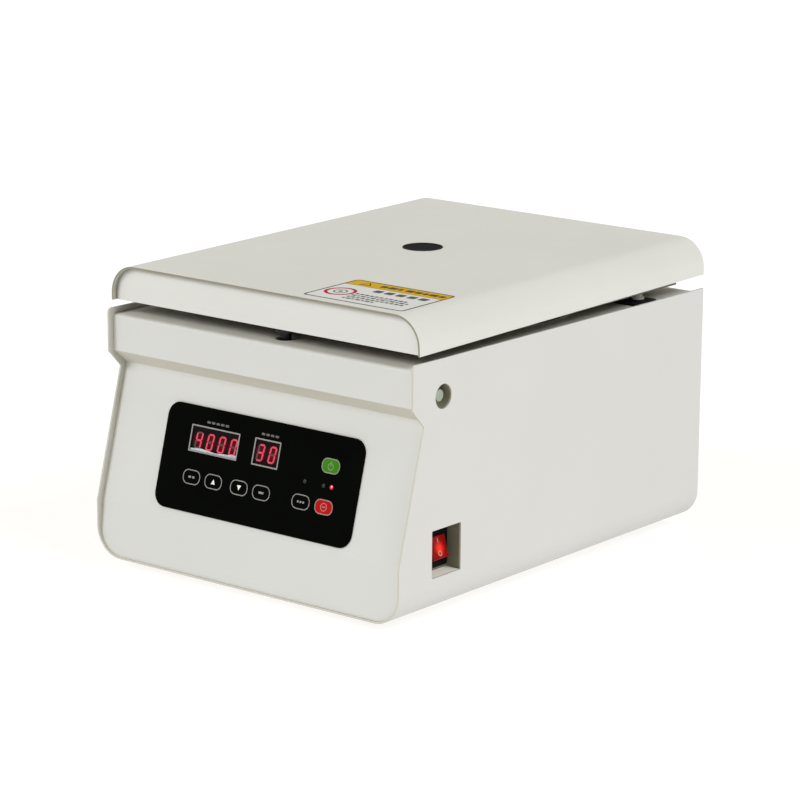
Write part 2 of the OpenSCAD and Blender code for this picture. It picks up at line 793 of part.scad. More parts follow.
module hinge_leaf() {
    back = hinge_y + hinge_r;
    color([0.68, 0.69, 0.7]) {
        knuckles(1);
        for (i = [1, 3]) block([knuckle_ends[i] + 0.25, back - leaf_t, hinge_z],
                               [knuckle_ends[i + 1] - 0.25, back, hinge_z + 6]);
        block([-hinge_x, back - leaf_t, hinge_z + 5], [hinge_x, back, hinge_z + 24]);
    }
}

buffer_x = 130;
buffer_y = 124;

module buffer_pads() {
    color([0.05, 0.05, 0.05]) for (x = [-1, 1]) translate([x * buffer_x, buffer_y, deck_z])
        linear_extrude(1.6) round_rect(26, 28, 2);
}

module lid_buffers() {
    color([0.92, 0.92, 0.9]) for (x = [-1, 1]) translate([x * buffer_x, buffer_y + 6, deck_z + 1.6]) {
        cylinder(h = 2, r = 5);
        translate([0, 0, 2 - eps]) cylinder(h = liner_z - 0.3 - deck_z - 3.6 + eps, r1 = 3.8, r2 = 2.4);
    }
}

// ---- lid ----

window_centre = [-4, 26.5];
bezel_r = window_d / 2 - 0.05;
glass_r = window_d / 2 - 1.8;
glass_t = 2.5;
sight_r = window_d / 2 - 3.5;

module at_window(z) {
    in_lid() translate([window_centre[0], window_centre[1] - lid_front_y, z]) children();
}

module lid_inner(h = lid_h - sheet) {
    arch(lid_w - 2 * sheet, h, lid_r - sheet);
}

module lid_shell() {
    color([0.83, 0.84, 0.81]) in_lid() difference() {
        along_y(0, lid_d) difference() {
            arch(lid_w, lid_h, lid_r);
            translate([0, -1]) lid_inner(lid_h - sheet + 1);
        }
        translate([window_centre[0], window_centre[1] - lid_front_y, lid_h - 3])
            cylinder(h = 5, r = window_d / 2);
    }
}

module lid_front_plate() {
    color([0.87, 0.87, 0.85]) in_lid() along_y(plate_inset, plate_inset + sheet) lid_inner();
}

module lid_rear_plate() {
    back = hinge_y + hinge_r - leaf_t - lid_front_y - 0.1;
    color([0.85, 0.85, 0.83]) in_lid() along_y(back - sheet, back) lid_inner();
}

// Pressed pan that closes the lid from below; it is level when the lid is shut
module lid_liner() {
    color([0.5, 0.48, 0.42]) difference() {
        intersection() {
            block([-liner_x, liner_front, liner_z], [liner_x, liner_back, lid_front_z + 60]);
            in_lid() translate([0, 0, -10]) along_y(0, lid_d) lid_inner(lid_h - sheet + 10);
        }
        block([-liner_x + sheet, liner_front + sheet, liner_z + sheet],
              [liner_x - sheet, liner_back - sheet, 300]);
        translate([window_centre[0], window_centre[1], liner_z - 1]) cylinder(h = 4, r = window_d / 2);
    }
}

// Tube from the liner up through the lid's top, with a seat for the glass at its upper end
module window_sleeve() {
    color([0.06, 0.06, 0.06]) difference() {
        union() {
            intersection() {
                translate([window_centre[0], window_centre[1], liner_z + sheet])
                    cylinder(h = 60, r = window_d / 2 + 4);
                in_lid() block([-40, 100, -20], [40, 300, lid_h - sheet]);
            }
            at_window(lid_h - 6) cylinder(h = 6.3, r = bezel_r);
        }
        translate([window_centre[0], window_centre[1], liner_z]) cylinder(h = 60, r = sight_r);
        at_window(lid_h - glass_t) cylinder(h = 10, r = glass_r + 0.05);
    }
}

module window_glass() {
    color([0.2, 0.25, 0.35, 0.6]) at_window(lid_h - glass_t) cylinder(h = glass_t + 0.1, r = glass_r);
}

module notice_plate() {
    color([0.93, 0.93, 0.9]) in_lid() translate([80.8, 40.5, lid_h])
        linear_extrude(0.3) round_rect(94.4, 65, 4.5);
}

module lock_pin() {
    head_z = rod_z - 8;
    color([0.1, 0.1, 0.1]) translate([lock_x, lock_y, 0]) rotate_extrude()
        polygon([[0, head_z], [pin_r - 1.2, head_z], [pin_r, head_z + 1.2], [pin_r, rod_z - 2],
                 [neck_r, rod_z - 2], [neck_r, rod_z + 2], [pin_r, rod_z + 2], [pin_r, liner_z - 2.2],
                 [9, liner_z - 2.2], [9, liner_z], [0, liner_z]]);
}

outer_shell();
front_panel();
top_deck();
rear_panel();
case_screws();
rubber_feet();
chamber_bowl();
chamber_gasket();
shaft_seal();
motor_plate();
rubber_mounts();
motor_housing();
motor_stator();
motor_bearings();
keypad_overlay();
control_board();
speed_display();
time_display();
indicator_lamps();
tactile_switches();
drive_board();
heat_sink();
filter_capacitors();
power_inlet();
fuse_holder();
switch_recess();
switch_housing();
lock_bracket();
lock_solenoid();
rod_guide();
rod_spring();
hinge_base();
hinge_pin();
buffer_pads();
lid_buffers();
lid_shell();
lid_front_plate();
lid_rear_plate();
lid_liner();
window_sleeve();
window_glass();
notice_plate();
lock_pin();
hinge_leaf();
rotor_head();
tube_sleeves();
rotor_nut();
drive_shaft();
motor_armature();
power_rocker();
release_rod();
lock_slide();
solenoid_plunger();
key(key_list[0]);  // key_set
key(key_list[1]);  // key_up
key(key_list[2]);  // key_down
key(key_list[3]);  // key_confirm
key(key_list[4]);  // key_short
key(key_list[5]);  // key_stop
key(key_list[6]);  // key_start
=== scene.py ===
import json
import math

import bmesh
import bpy
from mathutils import Matrix, Vector


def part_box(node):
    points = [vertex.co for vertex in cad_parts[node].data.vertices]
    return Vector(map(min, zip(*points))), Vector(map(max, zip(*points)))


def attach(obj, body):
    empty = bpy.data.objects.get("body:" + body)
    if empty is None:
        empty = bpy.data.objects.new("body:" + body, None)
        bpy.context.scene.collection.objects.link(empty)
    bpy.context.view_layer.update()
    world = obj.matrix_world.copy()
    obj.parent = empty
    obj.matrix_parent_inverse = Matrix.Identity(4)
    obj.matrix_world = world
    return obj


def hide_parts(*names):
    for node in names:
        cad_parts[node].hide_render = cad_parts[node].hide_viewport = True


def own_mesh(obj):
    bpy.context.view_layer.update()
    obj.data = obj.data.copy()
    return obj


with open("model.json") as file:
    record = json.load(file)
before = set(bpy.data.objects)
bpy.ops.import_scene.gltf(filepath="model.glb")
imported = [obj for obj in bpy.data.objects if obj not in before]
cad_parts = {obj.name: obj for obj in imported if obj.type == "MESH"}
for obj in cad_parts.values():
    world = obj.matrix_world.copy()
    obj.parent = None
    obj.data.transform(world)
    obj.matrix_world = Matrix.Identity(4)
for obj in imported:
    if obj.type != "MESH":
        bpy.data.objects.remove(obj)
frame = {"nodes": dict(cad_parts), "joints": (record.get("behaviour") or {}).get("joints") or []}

MM = 0.001
NODES = frame["nodes"]
JOINTS = {joint["name"]: joint for joint in frame["joints"]}
KEYS = ["key_set", "key_up", "key_down", "key_confirm", "key_short", "key_stop", "key_start"]
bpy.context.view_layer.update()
UP = Vector((0, 0, 1))
PRINT_LOW, PRINT_HIGH = -0.01, 0.05  # printed marks dip this far under their face and stand this far out, in mm
MERGE_DISTANCE = 1e-7
SHARP_ANGLE = math.radians(35)


# ---- places on the CAD model ----

class Plane:
    """A flat place on the object: origin, x and y along the surface and z out of it, all in millimetres."""

    def __init__(self, origin, x_axis, normal):
        self.origin = origin
        self.z = normal.normalized()
        self.x = (x_axis - self.z * x_axis.dot(self.z)).normalized()
        self.y = self.z.cross(self.x)

    def place(self, x, y, z=0.0):
        return self.origin + (self.x * x + self.y * y + self.z * z) * MM

    def local(self, point):
        offset = (point - self.origin) / MM
        return Vector((offset.dot(self.x), offset.dot(self.y), offset.dot(self.z)))


def outer_face(node, facing, x_axis=Vector((1, 0, 0))):
    """The plane of a CAD node's outermost flat face on one side, centred on that face, and the face's size."""
    mesh = NODES[node].data
    towards = facing.normalized()
    least_cosine, depth, flatness = 0.97, 4 * MM, 0.05

    def reach_of(polygon):
        return mesh.vertices[polygon.vertices[0]].co.dot(towards)

    flat = [p for p in mesh.polygons if p.normal.dot(towards) > least_cosine]
    reach = max(reach_of(p) for p in flat)
    face = [p for p in flat if reach_of(p) > reach - depth]
    biggest = max(face, key=lambda p: p.area)
    plane = Plane(mesh.vertices[biggest.vertices[0]].co.copy(), x_axis, biggest.normal.copy())
    corners = [plane.local(mesh.vertices[i].co) for p in flat for i in p.vertices]
    level = [c for c in corners if abs(c.z) < flatness]
    low = Vector((min(c.x for c in level), min(c.y for c in level), 0))
    high = Vector((max(c.x for c in level), max(c.y for c in level), 0))
    middle = (low + high) / 2
    plane.origin = plane.place(middle.x, middle.y)
    return plane, high - low


def middle_of(node):
    low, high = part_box(node)
    return (low + high) / 2


# ---- geometry ----

def on_circle(angle, radius=1.0):
    """X and Y at an angle in degrees on a circle."""
    return radius * math.cos(math.radians(angle)), radius * math.sin(math.radians(angle))


class Shape:
    """Collects vertices and faces drawn in millimetres, then becomes one piece."""

    def __init__(self):
        self.points = []
        self.faces = []

    def add(self, points, faces):
        start = len(self.points)
        self.points += [tuple(p) for p in points]
        self.faces += [tuple(start + i for i in face) for face in faces]

    def prism(self, outline, low, high):
        """An outline drawn anticlockwise, raised from low to high."""
        n = len(outline)
        self.add([(x, y, low) for x, y in outline] + [(x, y, high) for x, y in outline],
                 [tuple(range(n - 1, -1, -1)), tuple(range(n, 2 * n))]
                 + [(i, (i + 1) % n, n + (i + 1) % n, n + i) for i in range(n)])

    def band(self, outer, inner, low, high):
        """The strip between two outlines with the same number of points."""
        n = len(outer)
        points = [(x, y, z) for z in (low, high) for loop in (outer, inner) for x, y in loop]
        faces = []
        for i in range(n):
            j = (i + 1) % n
            faces += [(2 * n + i, 2 * n + j, 3 * n + j, 3 * n + i), (j, i, n + i, n + j),
                      (i, j, 2 * n + j, 2 * n + i), (n + j, n + i, 3 * n + i, 3 * n + j)]
        self.add(points, faces)

    def lathe(self, profile, steps, centre):
        """A closed profile of (radius, height) points turned about the z axis."""
        rows = len(profile)
        points = []
        for i in range(steps):
            x, y = on_circle(360 * i / steps)
            points += [(centre[0] + r * x, centre[1] + r * y, z) for r, z in profile]
        faces = [(i * rows + k, (i + 1) % steps * rows + k, (i + 1) % steps * rows + (k + 1) % rows,
                  i * rows + (k + 1) % rows) for i in range(steps) for k in range(rows)]
        self.add(points, faces)

    def piece(self, name, finish, body, place, smooth=False):
        mesh = bpy.data.meshes.new(name)
        mesh.from_pydata([place(*p) for p in self.points], [], self.faces)
        shape = bmesh.new()
        shape.from_mesh(mesh)
        bmesh.ops.remove_doubles(shape, verts=shape.verts, dist=MERGE_DISTANCE)
        bmesh.ops.recalc_face_normals(shape, faces=shape.faces)
        shape.to_mesh(mesh)
        shape.free()
        mesh.materials.append(finish)
        if smooth:
            mesh.shade_smooth()
            mesh.set_sharp_from_angle(angle=SHARP_ANGLE)
        made = bpy.data.objects.new(name, mesh)
        bpy.context.scene.collection.objects.link(made)
        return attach(made, body)


def rounded(width, height, radius, centre=(0, 0), steps=6):
    """Rounded rectangle, anticlockwise."""
    corners = [(1, 1, 0), (-1, 1, 90), (-1, -1, 180), (1, -1, 270)]
    outline = []
    for sx, sy, start in corners:
        for k in range(steps + 1):
            x, y = on_circle(start + 90 * k / steps, radius)
            outline.append((centre[0] + sx * (width / 2 - radius) + x, centre[1] + sy * (height / 2 - radius) + y))
    return outline


def circle(radius, centre=(0, 0), steps=40):
    arc = [on_circle(360 * k / steps, radius) for k in range(steps)]
    return [(centre[0] + x, centre[1] + y) for x, y in arc]


def rounded_band(shape, width, height, radius, line):
    """Outline of a rounded rectangle, printed as a line of that width inside it."""
    shape.band(rounded(width, height, radius), rounded(width - 2 * line, height - 2 * line, radius - line),
               PRINT_LOW, PRINT_HIGH)


# ---- materials ----

def noise(nodes, links, vector, scale, detail=3.0, stretch=(1, 1, 1)):
    mapping = nodes.new("ShaderNodeMapping")
    mapping.inputs["Scale"].default_value = stretch
    links.new(vector, mapping.inputs["Vector"])
    texture = nodes.new("ShaderNodeTexNoise")
    texture.inputs["Scale"].default_value = scale
    texture.inputs["Detail"].default_value = detail
    links.new(mapping.outputs["Vector"], texture.inputs["Vector"])
    return texture.outputs["Fac"]


def ranged(nodes, links, value, start, end, low=0.0, high=1.0):
    """Maps a value from one range to another."""
    mapped = nodes.new("ShaderNodeMapRange")
    for socket, number in (("From Min", start), ("From Max", end), ("To Min", low), ("To Max", high)):
        mapped.inputs[socket].default_value = number
    links.new(value, mapped.inputs["Value"])
    return mapped.outputs["Result"]


def spread(nodes, links, value, low, high):
    """Maps the middle of a noise to a range."""
    return ranged(nodes, links, value, 0.3, 0.7, low, high)


def mix_over(nodes, links, factor, first, second):
    """Mixes two colours. Each is an output socket or a tuple."""
    mix = nodes.new("ShaderNodeMix")
    mix.data_type = "RGBA"
    links.new(factor, mix.inputs["Factor"])
    for socket, colour in (("A", first), ("B", second)):
        if isinstance(colour, bpy.types.NodeSocket):
            links.new(colour, mix.inputs[socket])
        else:
            mix.inputs[socket].default_value = (*colour, 1)
    return mix.outputs["Result"]


def surface(name, colour, rough, vary=0.03, tone_size=60.0, grain_size=0.5, grain_depth=0.004, rough_vary=0.05,
            edge=0.0, stretch=(1, 1, 1), turned_about=None, corners=None, facing_shades=(),
            **sockets):
    """A finish with uneven tone and gloss, a fine grain in its surface and, if asked, softened edges and painted
    light and shade.

    Sizes are in millimetres. turned_about is a point on the axis that a turned part was machined about.
    corners is a colour painted into narrow corners: painted shade where it is darker than the finish, painted
    light where it is paler.
    facing_shades are painted light and shade on faces that look one way: an axis, where on it the colour starts,
    where it is full, and the colour."""
    made = bpy.data.materials.new(name)
    made.use_nodes = True
    nodes = made.node_tree.nodes
    links = made.node_tree.links
    shader = nodes["Principled BSDF"]
    for socket, value in sockets.items():
        shader.inputs[socket.replace("_", " ")].default_value = value
    vector = nodes.new("ShaderNodeTexCoord").outputs["Object"]
    if turned_about is not None:
        vector = turned(nodes, links, vector, turned_about)
    tone = noise(nodes, links, vector, 1000 / tone_size, 4.0, stretch)
    darker = [c * (1 - vary) for c in colour]
    lighter = [min(1, c * (1 + vary)) for c in colour]
    base = mix_over(nodes, links, spread(nodes, links, tone, 0, 1), darker, lighter)
    # Painted light and shade on faces by the way they look.
    if facing_shades:
        base = shade_by_facing(nodes, links, base, facing_shades)
    # Painted shade in narrow corners; a colour paler than the finish paints light there instead.
    if corners:
        base = shaded_corners(nodes, links, base, corners)
    links.new(base, shader.inputs["Base Color"])
    grain = noise(nodes, links, vector, 1000 / grain_size, 2.0, stretch)
    gloss = noise(nodes, links, vector, 4000 / tone_size, 5.0, stretch)
    roughness = spread(nodes, links, gloss, max(0.02, rough - rough_vary), rough + rough_vary)
    links.new(roughness, shader.inputs["Roughness"])
    bump = nodes.new("ShaderNodeBump")
    bump.inputs["Distance"].default_value = grain_depth * MM
    links.new(grain, bump.inputs["Height"])
    if edge:
        soften = nodes.new("ShaderNodeBevel")
        soften.inputs["Radius"].default_value = edge * MM
        soften.samples = 4
        links.new(soften.outputs["Normal"], bump.inputs["Normal"])
    links.new(bump.outputs["Normal"], shader.inputs["Normal"])
    return made


def shaded_corners(nodes, links, base, shade):
    """Mixes another colour into a colour where other surfaces stand within 9 mm: painted shade where it is darker,
    painted light where it is paler.
    """
    open_sky = nodes.new("ShaderNodeAmbientOcclusion")
    open_sky.samples = 6
    open_sky.inputs["Distance"].default_value = 9 * MM
    openness = ranged(nodes, links, open_sky.outputs["AO"], 0.3, 0.85)
    return mix_over(nodes, links, openness, shade, base)


def shade_by_facing(nodes, links, base, facing_shades):
    """Paints light and shade by the way faces look: faces turned one way get their own colour."""
    normal = nodes.new("ShaderNodeSeparateXYZ")
    links.new(nodes.new("ShaderNodeNewGeometry").outputs["Normal"], normal.inputs["Vector"])
    for axis, start, full, tint in facing_shades:
        base = mix_over(nodes, links, ranged(nodes, links, normal.outputs[axis], start, full), base, tint)
    return base


def turned(nodes, links, vector, centre):
    """Coordinates that change only with height and with the distance from a vertical axis, as lathe marks do."""
    shift = nodes.new("ShaderNodeVectorMath")
    shift.operation = "SUBTRACT"
    shift.inputs[1].default_value = centre
    links.new(vector, shift.inputs[0])
    flat = nodes.new("ShaderNodeVectorMath")
    flat.operation = "MULTIPLY"
    flat.inputs[1].default_value = (1, 1, 0)
    links.new(shift.outputs["Vector"], flat.inputs[0])
    radius = nodes.new("ShaderNodeVectorMath")
    radius.operation = "LENGTH"
    links.new(flat.outputs["Vector"], radius.inputs[0])
    parts = nodes.new("ShaderNodeSeparateXYZ")
    links.new(shift.outputs["Vector"], parts.inputs["Vector"])
    joined = nodes.new("ShaderNodeCombineXYZ")
    links.new(radius.outputs["Value"], joined.inputs["X"])
    links.new(parts.outputs["Z"], joined.inputs["Z"])
    return joined.outputs["Vector"]


def glow(name, colour, strength, rough=0.3):
    """A lit surface that is a little uneven, like a lamp behind a diffuser."""
    made = surface(name, [c * 0.12 for c in colour], rough, vary=0.1, tone_size=4, grain_size=0.3,
                   grain_depth=0.002, Specular_IOR_Level=0.1)
    nodes = made.node_tree.nodes
    links = made.node_tree.links
    shader = nodes["Principled BSDF"]
    shader.inputs["Emission Color"].default_value = (*colour, 1)
    vector = nodes.new("ShaderNodeTexCoord").outputs["Object"]
    uneven = noise(nodes, links, vector, 400, 2.0)
    strengths = spread(nodes, links, uneven, strength * 0.85, strength * 1.15)
    links.new(strengths, shader.inputs["Emission Strength"])
    return made


def halo(name, base, colour, strength, centre, reach, rough=0.25, **sockets):
    """A finish with light behind it that fades with the distance from a point, in metres."""
    made = surface(name, base, rough, vary=0.08, tone_size=6, grain_size=0.4, grain_depth=0.003, **sockets)
    nodes = made.node_tree.nodes
    links = made.node_tree.links
    shader = nodes["Principled BSDF"]
    shader.inputs["Emission Color"].default_value = (*colour, 1)
    distance = nodes.new("ShaderNodeVectorMath")
    distance.operation = "DISTANCE"
    distance.inputs[1].default_value = centre
    links.new(nodes.new("ShaderNodeTexCoord").outputs["Object"], distance.inputs[0])
    fade = nodes.new("ShaderNodeMapRange")
    fade.interpolation_type = "SMOOTHSTEP"
    fade.inputs["From Max"].default_value = reach
    fade.inputs["To Min"].default_value = strength
    fade.inputs["To Max"].default_value = 0
    links.new(distance.outputs["Value"], fade.inputs["Value"])
    links.new(fade.outputs["Result"], shader.inputs["Emission Strength"])
    return made


ROTOR_AXIS = Vector((*middle_of("drive_shaft").xy, 0))

def paint(name, colour, edge=0.2, vary=0.012, tone_size=90, shine=0.3, corners=None, facing_shades=()):
    """Powder coat: matt, with a fine orange peel."""
    return surface(name, colour, 0.5, vary=vary, tone_size=tone_size, grain_size=0.45, grain_depth=0.006,
                   edge=edge, corners=corners, facing_shades=facing_shades, Specular_IOR_Level=shine)


# The cabinet, panel and lid paints are one paint, each set a little lighter or darker per part as painted light
# and shade. This is the dark painted shade for the lid's narrow corners.
LID_CORNER_SHADE = (0.16, 0.145, 0.1)
# Cabinet paint: narrow corners are painted a darker, warmer shade, and faces turned to the front, the sheets' cut
# edges, a tan painted shade.
PAINT = paint("cabinet_paint", (0.566, 0.566, 0.549), corners=(0.4, 0.38, 0.29),
              facing_shades=[("Y", -0.5, -0.7, (0.5, 0.485, 0.42))])
# Front panel paint: warm painted shade in corners; faces turned down are painted darker as shade, faces turned up
# paler as light.
PANEL_PAINT = paint("panel_paint", (0.558, 0.562, 0.547), corners=(0.56, 0.54, 0.46),
                    facing_shades=[("Z", -0.2, -0.65, (0.53, 0.51, 0.435)), ("Z", 0.9, 0.99, (0.72, 0.705, 0.65))])
# Deck paint: the cabinet's paint made paler as painted light, and paler still in narrow corners, where it paints
# light into the shade.
DECK_LIT_PAINT = paint("deck_painted_light", (0.72, 0.705, 0.65), corners=(0.88, 0.85, 0.76))
LID_PAINT = paint("lid_paint", (0.6, 0.605, 0.584), 0.15, corners=LID_CORNER_SHADE)
# Lid sheet: faces turned to the front, its front edge, are painted dark as shade.
LID_SHEET_PAINT_AND_SHADE = paint("lid_sheet_paint_and_shade", (0.605, 0.612, 0.584), 0.15, corners=LID_CORNER_SHADE,
                        facing_shades=[("Y", -0.6, -0.9, (0.24, 0.225, 0.17))])
# Switch recess: its walls are painted dark as shade, and faces turned up, its floor, are painted pale as light.
RECESS_SHADE_PAINT = paint("recess_paint", (0.19, 0.185, 0.135), vary=0.12, tone_size=25, shine=0.2,
                     facing_shades=[("Z", 0.6, 0.95, (0.95, 0.91, 0.86))])
# Rod guide: painted dark olive as the shade inside the release rod's hole.
HOLE_SHADE_PAINT = paint("hole_painted_shade", (0.26, 0.25, 0.17), vary=0.08, tone_size=15, shine=0.2)
FILM = surface("overlay_film", (0.0013, 0.0017, 0.0011), 0.5, vary=0.2, tone_size=30, grain_size=0.25,
               grain_depth=0.003, edge=0.15, Specular_IOR_Level=0.01)
BLACK_PLASTIC = surface("black_plastic", (0.004, 0.004, 0.004), 0.5, vary=0.15, tone_size=12, grain_size=0.3,
                        grain_depth=0.01, edge=0.25, Specular_IOR_Level=0.06)
RUBBER = surface("black_rubber", (0.016, 0.016, 0.017), 0.72, vary=0.2, tone_size=15, grain_size=0.5,
                 grain_depth=0.02, edge=0.4, Specular_IOR_Level=0.15)
LINER = surface("liner_plastic", (0.24, 0.225, 0.18), 0.6, vary=0.05, tone_size=40, grain_size=0.8,
                grain_depth=0.03, edge=0.5)
ZINC = surface("zinc_steel", (0.56, 0.57, 0.58), 0.34, vary=0.1, tone_size=14, grain_size=0.6,
               grain_depth=0.006, rough_vary=0.1, edge=0.3, stretch=(1, 4, 4), Metallic=1.0)
BRIGHT = surface("bright_steel", (0.75, 0.76, 0.78), 0.16, vary=0.04, tone_size=12, grain_size=0.3,
                 grain_depth=0.002, edge=0.2, Metallic=1.0)
BOWL = surface("bowl_steel", (0.62, 0.62, 0.62), 0.3, vary=0.06, tone_size=9, grain_size=0.5, grain_depth=0.006,
               rough_vary=0.08, edge=0.4, turned_about=ROTOR_AXIS, Metallic=1.0)
TURNED = surface("rotor_aluminium", (0.66, 0.67, 0.69), 0.3, vary=0.05, tone_size=7, grain_size=0.35,
                 grain_depth=0.005, rough_vary=0.08, edge=0.4, turned_about=ROTOR_AXIS, Metallic=1.0)
SLEEVE = surface("sleeve_aluminium", (0.7, 0.71, 0.73), 0.26, vary=0.05, tone_size=18, grain_size=0.4,
                 grain_depth=0.004, edge=0.3, Metallic=1.0)
ENAMEL = surface("motor_enamel", (0.035, 0.038, 0.043), 0.4, vary=0.1, tone_size=20, grain_size=0.8,
                 grain_depth=0.015, edge=0.5)
COPPER = surface("copper_windings", (0.62, 0.26, 0.12), 0.35, vary=0.2, tone_size=3, grain_size=0.6,
                 grain_depth=0.05, turned_about=ROTOR_AXIS, Metallic=1.0)
BOARD = surface("board_green", (0.02, 0.12, 0.05), 0.35, vary=0.25, tone_size=5, grain_size=0.5,
                grain_depth=0.01)
DARK_ALUMINIUM = surface("dark_aluminium", (0.05, 0.05, 0.055), 0.4, vary=0.1, tone_size=12, grain_size=0.4,
                         grain_depth=0.006, edge=0.2, Metallic=1.0)
CAPACITOR = surface("capacitor_sleeve", (0.02, 0.03, 0.12), 0.22, vary=0.1, tone_size=20, edge=0.4)
BLACK_STEEL = surface("black_steel", (0.02, 0.02, 0.022), 0.24, vary=0.15, tone_size=8, grain_size=0.3,
                      grain_depth=0.003, edge=0.3, Metallic=0.7)
NYLON = surface("white_nylon", (0.88, 0.88, 0.85), 0.45, vary=0.03, tone_size=8, grain_size=0.4,
                grain_depth=0.01, edge=0.3)
ACRYLIC = surface("rod_acrylic", (0.3, 0.345, 0.28), 0.35, vary=0.06, tone_size=8, grain_size=0.4,
                  grain_depth=0.004, edge=0.4, Specular_IOR_Level=0.2)
LABEL = surface("label_film", (0.615, 0.62, 0.62), 0.4, vary=0.01, tone_size=20, grain_size=0.3, grain_depth=0.001,
                Specular_IOR_Level=0.2)


def ink(name, colour, vary=0.12, tone_size=4):
    """Matt printing ink."""
    return surface(name, colour, 0.5, vary=vary, tone_size=tone_size, grain_size=0.25, grain_depth=0.001,
                   Specular_IOR_Level=0.05)


INK = ink("label_ink", (0.055, 0.055, 0.05), 0.2)
GREY_INK = ink("grey_ink", (0.085, 0.088, 0.08), 0.2, 3)
CAPTION_INK = ink("caption_ink", (0.12, 0.12, 0.115), 0.35, 1.2)
AMBER_INK = ink("amber_ink", (0.54, 0.32, 0.002), 0.06, 25)
RED_INK = ink("red_ink", (0.33, 0.008, 0.018), 0.08, 8)
LINE_INK = ink("key_line_ink", (0.24, 0.235, 0.22), 0.15, 2)
GREEN_INK = ink("start_green_ink", (0.035, 0.185, 0.004), 0.06, 6)
STOP_INK = ink("stop_red_ink", (0.4, 0.003, 0.004), 0.06, 6)
SIGN_INK = ink("sign_ink", (0.75, 0.75, 0.72), 0.06, 3)
WINDOW_FRAME = ink("window_frame_ink", (0.26, 0.255, 0.24), 0.12, 5)
DISPLAY_FACE = surface("display_face", (0.004, 0.003, 0.004), 0.35, vary=0.2, tone_size=5, grain_size=0.3,
                       grain_depth=0.003, Specular_IOR_Level=0.05)
DEAD_SEGMENT = ink("dead_segment", (0.075, 0.062, 0.06), 0.15, 2)
LIT_SEGMENT = glow("lit_segment", (0.78, 0.072, 0.115), 0.85)
# Painted highlight on the lower edge of the speed display's pane.
SILL_HIGHLIGHT = surface("painted_sill_highlight", (0.4, 0.46, 0.5), 0.2, vary=0.35, tone_size=7, grain_size=0.6, grain_depth=0.01)
LAMP_OFF = surface("lamp_off", (0.02, 0.02, 0.012), 0.2, vary=0.3, tone_size=1.5, grain_size=0.3,
                   grain_depth=0.002, Specular_IOR_Level=0.2)
LAMP_ON = glow("lamp_on", (1.0, 0.012, 0.03), 1.6, 0.12)
# Painted highlight: a glowing spot that stands in for the reflection on the lit lens.
LAMP_PAINTED_HIGHLIGHT = glow("lamp_painted_highlight", (1.0, 0.55, 0.6), 2.0, 0.1)
MARK_INK = ink("rocker_mark_ink", (0.6, 0.22, 0.2), 0.1, 2)
GLASS = surface("window_glass", (0.004, 0.008, 0.012), 0.12, vary=0.15, tone_size=10, grain_size=0.8,
                grain_depth=0.0005, Transmission_Weight=0.3, IOR=1.12, Specular_IOR_Level=0.0)

FINISHES = {
    PAINT: ["outer_shell", "rear_panel"],
    PANEL_PAINT: ["front_panel"],
    DECK_LIT_PAINT: ["top_deck"],
    LID_SHEET_PAINT_AND_SHADE: ["lid_shell"],
    LID_PAINT: ["lid_front_plate", "lid_rear_plate"],
    RECESS_SHADE_PAINT: ["switch_recess"],
    FILM: ["keypad_overlay", "key_set", "key_up", "key_down", "key_confirm", "key_short"],
    GREEN_INK: ["key_start"],
    STOP_INK: ["key_stop", "power_rocker"],
    BLACK_PLASTIC: ["tactile_switches", "power_inlet", "fuse_holder", "switch_housing", "window_sleeve"],
    RUBBER: ["rubber_feet", "chamber_gasket", "shaft_seal", "rubber_mounts", "buffer_pads"],
    LINER: ["lid_liner"],
    HOLE_SHADE_PAINT: ["rod_guide"],
    ZINC: ["motor_plate", "lock_bracket", "hinge_base", "hinge_leaf", "lock_slide"],
    BRIGHT: ["case_screws", "motor_bearings", "hinge_pin", "drive_shaft", "solenoid_plunger", "rod_spring"],
    BOWL: ["chamber_bowl"],
    TURNED: ["rotor_head"],
    SLEEVE: ["tube_sleeves"],
    ENAMEL: ["motor_housing", "motor_armature", "lock_solenoid"],
    COPPER: ["motor_stator"],
    BOARD: ["control_board", "drive_board"],
    DARK_ALUMINIUM: ["heat_sink"],
    CAPACITOR: ["filter_capacitors"],
    BLACK_STEEL: ["rotor_nut", "lock_pin"],
    NYLON: ["lid_buffers"],
    ACRYLIC: ["release_rod"],
    LABEL: ["notice_plate"],
    DISPLAY_FACE: ["speed_display", "time_display"],
    LAMP_OFF: ["indicator_lamps"],
    GLASS: ["window_glass"],
}
for finish, names in FINISHES.items():
    for name in names:
        NODES[name].data.materials.clear()
        NODES[name].data.materials.append(finish)


# ---- keypad ----

OUTWARD = -Vector(JOINTS["key_set_press"]["axis"])
FACE, _ = outer_face("keypad_overlay", OUTWARD)


def display_frame(name, centre, size):
    """Silver line round a display's window. It covers the window's edge."""
    outside, inside, depth, height = 1.4, 0.7, 0.3, 0.12
    shape = Shape()
    outer = rounded(size.x + outside, size.y + outside, 0.5, centre)
    inner = rounded(size.x - inside, size.y - inside, 0.2, centre)
    shape.band(outer, inner, -depth, height)
    shape.piece(name + "_frame", WINDOW_FRAME, "cabinet", FACE.place)


SEGMENTS = {"0": "abcdef", "3": "abcdg", "4": "bcfg"}
DIGIT_HEIGHT = 13.2
DIGIT_WIDTH = 6.6
SEGMENT_WIDTH = 1.45
SEGMENT_GAP = 0.08
DIGIT_LEAN = math.tan(math.radians(7))
DIGIT_PITCH = 11.55


